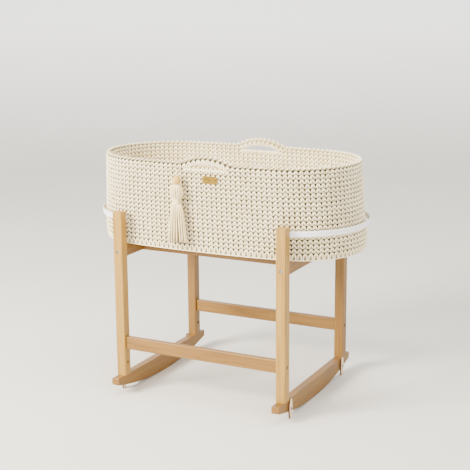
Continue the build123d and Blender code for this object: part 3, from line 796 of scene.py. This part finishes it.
def yarn_piece(name, line, radius, body, tuck_shade=None, sides=6):
    """A piece of one or more strands in the yarn."""
    points = strand_tubes(line, radius, sides)
    count, rings = line.shape[:2]
    if tuck_shade is None:
        tuck_shade = np.zeros((count, rings))
    uv = lobe_uv(count, rings, sides, 60 * MM)
    tuck_shade = np.repeat(tuck_shade[..., None], sides, -1)
    piece = quad_mesh(name, points, tube_quads(count, rings, sides), uv, tuck_shade)
    return dress(piece, yarn, body)


# the cord leaves the wall level, curves over and falls to the bead
LOOP_RADIUS = 1.9 * MM
p = np.linspace(0, 1, 14)[None]
angle = np.clip(p / 0.8, 0, 1) * math.pi / 2
loop_y = loop_high[1] - (loop_high[1] - hang_y) * np.sin(angle)
loop_fall = np.where(p < 0.8, np.cos(angle), 1.25 * (1 - p))
loop_z = loop_low[2] + (loop_high[2] - 2 * MM - loop_low[2]) * loop_fall
loop_line = np.stack([np.full_like(p, hang_x), loop_y, loop_z], -1)
loop_piece = yarn_piece("tassel_loop_cord", loop_line, LOOP_RADIUS + 0 * p, "tassel_loop", sides=10)
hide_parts("tassel_cord")

# a knot sits in the mouth of the bead's bore, at the point that the tassel swings about
knot_z = loop_low[2] - 1 * MM
p = np.linspace(-1.5, 1.5, 9)[None]
knot_line = np.stack([hang_x + 0 * p, hang_y + 0 * p, knot_z + 2.2 * MM * np.sin(p)], -1)
knot = yarn_piece("tassel_loop_knot", knot_line, 2.3 * MM * np.cos(p), "tassel_loop", sides=10)

bead_wood = beech("turned_beech_bead", "z", (3.0, 1.0, 2.0), ("d2b062", "c7a14f", "b99039"))
bead_radius = (bead_high[0] - bead_low[0]) / 2
bead_middle = (bead_high[2] + bead_low[2]) / 2
BORE = 3.0 * MM
# the profile runs up the ball's outside and back down its bore
v = np.linspace(-1.3, 1.3, 25)
bore_z = bead_radius * np.array([0.93, 0.3, -0.3, -0.93])
profile_r = np.concatenate([bead_radius * np.cos(v), np.full(4, BORE)])
profile_z = np.concatenate([bead_radius * np.sin(v), bore_z])
BEAD_SIDES = 48
spin = np.linspace(0, 2 * math.pi, BEAD_SIDES, endpoint=False)[:, None]
grid = np.stack([hang_x + profile_r * np.cos(spin), hang_y + profile_r * np.sin(spin),
                 bead_middle + profile_z + 0 * spin], -1)
bead = quad_mesh("tassel_bead_turned", grid, closed_ring_quads(BEAD_SIDES, len(profile_r)))
dress(bead, bead_wood, "tassel")
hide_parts("tassel_bead")

# the head's strands bulge out from the bead and are drawn in to the neck
HEAD_STRANDS = 18
HEAD_YARN = 2.7 * MM
spin = np.linspace(0, 2 * math.pi, HEAD_STRANDS, endpoint=False)[:, None]
p = np.linspace(0, 1, 12)[None]
head_z = head_high[2] - (head_high[2] - head_low[2] + 4 * MM) * p
head_r = 4 * MM + 14.5 * MM * np.sin(math.pi * p**0.9) ** 0.8 + 4 * MM * p**2
head_r = np.minimum(head_r, (head_high[0] - head_low[0]) / 2 - HEAD_YARN)
wave = rng.normal(0, 0.05, (HEAD_STRANDS, 1)) * p
line = np.stack([hang_x + head_r * np.cos(spin + wave), hang_y + 0.9 * head_r * np.sin(spin + wave),
                 head_z + 0 * spin], -1)
head = yarn_piece("tassel_head_yarn", line, np.full(line.shape[:2], HEAD_YARN), "tassel")
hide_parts("tassel_head")

WRAPS = 7
WRAP_YARN = 1.6 * MM
wrap = np.linspace(0, 2 * math.pi * WRAPS, 24 * WRAPS)
bind_half = (bind_high - bind_low) / 2 - 1.5 * MM - WRAP_YARN
bind_rise = bind_high[2] - bind_low[2] - 2 * WRAP_YARN
line = np.stack([hang_x + bind_half[0] * np.cos(wrap), hang_y + bind_half[1] * np.sin(wrap),
                 bind_low[2] + WRAP_YARN + bind_rise * wrap / wrap[-1]], -1)[None]
binding = yarn_piece("tassel_binding_yarn", line, np.full(line.shape[:2], 1.65 * MM), "tassel", sides=8)
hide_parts("tassel_binding")

# the skirt hangs in three layers, each with its number of strands and its share of the full spread;
# strands inside are in shadow, and the outer ones vary a little in shade
LAYERS = ((18, 1.0), (15, 0.76), (9, 0.38))
SKIRT_YARN = 2.5 * MM
skirt_half = (skirt_high - skirt_low) / 2
lines, tucks = [], []
for strands, share in LAYERS:
    spin = np.linspace(0, 2 * math.pi, strands, endpoint=False)[:, None] + rng.uniform(0, 0.1, (strands, 1))
    p = np.linspace(0, 1, 10)[None]
    length = (skirt_high[2] - skirt_low[2]) * rng.uniform(0.95, 1.0, (strands, 1))
    spread = share * (0.46 + 0.54 * p**0.6 + 0.03 * rng.normal(0, 1, (strands, 1)) * p)
    sway = spin + rng.normal(0, 0.05, (strands, 1)) * np.sin(3 * p + rng.uniform(0, 6, (strands, 1)))
    spread = np.minimum(spread, 1.0)
    lines.append(np.stack([hang_x + (skirt_half[0] + 1.5 * MM) * spread * np.cos(sway),
                           hang_y + (skirt_half[1] - SKIRT_YARN) * spread * np.sin(sway),
                           skirt_high[2] + 4 * MM - (length + 3 * MM) * p], -1))
    tucks.append(np.broadcast_to(1.0 if share < 1 else 0.4 * rng.random((strands, 1)), sway.shape))
line = np.concatenate(lines)
thickness = np.full(line.shape[:2], SKIRT_YARN)
skirt = yarn_piece("tassel_skirt_yarn", line, thickness, "tassel", np.concatenate(tucks))
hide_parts("tassel_skirt")

# ---- floor, light and camera ----
# A plain pale floor that curves up into a far wall, with large soft lights from the left, from above
# and from the right, and a pale sky.
backdrop, tree, shader = start_material("matt_painted_backdrop", Roughness=0.95, Specular_IOR_Level=0.1)
floor_grey = ramp(tree, noise(tree, 1 / 1.2, 2.0), (0.3, "d3d0c8"), (0.7, "d8d5cd"))
coord = add(tree, "ShaderNodeTexCoord").outputs["Object"]
upward = add(tree, "ShaderNodeSeparateXYZ", {0: coord}).outputs[2]
wall_and_glow = ramp(tree, upward, (0.0, "000000"), (0.9, "ffffff"))
tree.links.new(mix(tree, wall_and_glow, floor_grey, linear("ffffff")), shader.inputs["Base Color"])
# painted light: the wall glows by emission along the same ramp, brighter with height up to 0.9 m
tree.links.new(wall_and_glow, shader.inputs["Emission Color"])
shader.inputs["Emission Strength"].default_value = 0.45
CAMERA_AZIMUTH, CAMERA_ELEVATION, CAMERA_ROLL = (math.radians(angle) for angle in (26.94, 12.79, -0.45))
WALL_AWAY = 6.5
CURVE = 2.5
bend = np.linspace(0.15, math.pi / 2, 12)
depth = np.concatenate([[-7, WALL_AWAY - CURVE], WALL_AWAY - CURVE * (1 - np.sin(bend)), [WALL_AWAY]])
height = np.concatenate([[0, 0], CURVE * (1 - np.cos(bend)), [8.0]])
across = np.array([-9.0, 9.0])
away = np.array([-math.sin(CAMERA_AZIMUTH), math.cos(CAMERA_AZIMUTH)])
beside = np.array([math.cos(CAMERA_AZIMUTH), math.sin(CAMERA_AZIMUTH)])
grid = np.empty((len(depth), 2, 3))
grid[..., :2] = depth[:, None, None] * away + across[None, :, None] * beside
grid[..., 2] = height[:, None]
strip = np.arange(len(depth) - 1)[:, None] * 2 + np.array([0, 1, 3, 2])
floor = quad_mesh("studio_backdrop", grid, strip)
floor.data.materials.append(backdrop)


def soft_light(name, place, aim, size, power, colour):
    """A square area light that faces a point."""
    lamp = bpy.data.lights.new(name, "AREA")
    lamp.shape = "SQUARE"
    lamp.size = size
    lamp.energy = power
    lamp.color = linear(colour)[:3]
    obj = bpy.data.objects.new(name, lamp)
    bpy.context.scene.collection.objects.link(obj)
    back = np.array(place) - np.array(aim)
    back = back / np.linalg.norm(back)
    right = np.cross((0.0, 0.0, 1.0), back)
    right = right / np.linalg.norm(right)
    frame_of = np.eye(4)
    frame_of[:3, 0], frame_of[:3, 1], frame_of[:3, 2] = right, np.cross(back, right), back
    frame_of[:3, 3] = place
    obj.matrix_world = Matrix(frame_of.tolist())


soft_light("key", (-1.9, -3.0, 2.2), (0, 0, 0.45), 1.4, 570, "fff9ee")
soft_light("top", (0.2, -0.5, 2.8), (0, 0, 0.5), 1.8, 70, "fff9ee")
soft_light("fill", (2.8, -2.2, 1.6), (0, 0, 0.5), 2.5, 70, "f8f9ff")
world = bpy.data.worlds.new("pale_room")
bpy.context.scene.world = world
world.use_nodes = True
world.node_tree.nodes["Background"].inputs["Color"].default_value = linear("f7f6f4")
world.node_tree.nodes["Background"].inputs["Strength"].default_value = 1.7

FOCAL_LENGTH = 84.08
SENSOR = 36
CAMERA_DISTANCE = 3.34806
target = np.array([0.00499 * math.cos(CAMERA_AZIMUTH), 0.00499 * math.sin(CAMERA_AZIMUTH), 0.47151])
back = np.array([math.sin(CAMERA_AZIMUTH) * math.cos(CAMERA_ELEVATION),
                 -math.cos(CAMERA_AZIMUTH) * math.cos(CAMERA_ELEVATION), math.sin(CAMERA_ELEVATION)])
right = np.cross(-back, (0.0, 0.0, 1.0))
right = right / np.linalg.norm(right)
up = np.cross(back, right)
pose = np.eye(4)
pose[:3, 0] = right * math.cos(CAMERA_ROLL) + up * math.sin(CAMERA_ROLL)
pose[:3, 1] = up * math.cos(CAMERA_ROLL) - right * math.sin(CAMERA_ROLL)
pose[:3, 2] = back
pose[:3, 3] = target + CAMERA_DISTANCE * back
lens = bpy.data.cameras.new("view")
lens.lens = FOCAL_LENGTH
lens.sensor_width = SENSOR
camera = bpy.data.objects.new("view", lens)
camera.matrix_world = Matrix(pose.tolist())
bpy.context.scene.collection.objects.link(camera)
bpy.context.scene.camera = camera
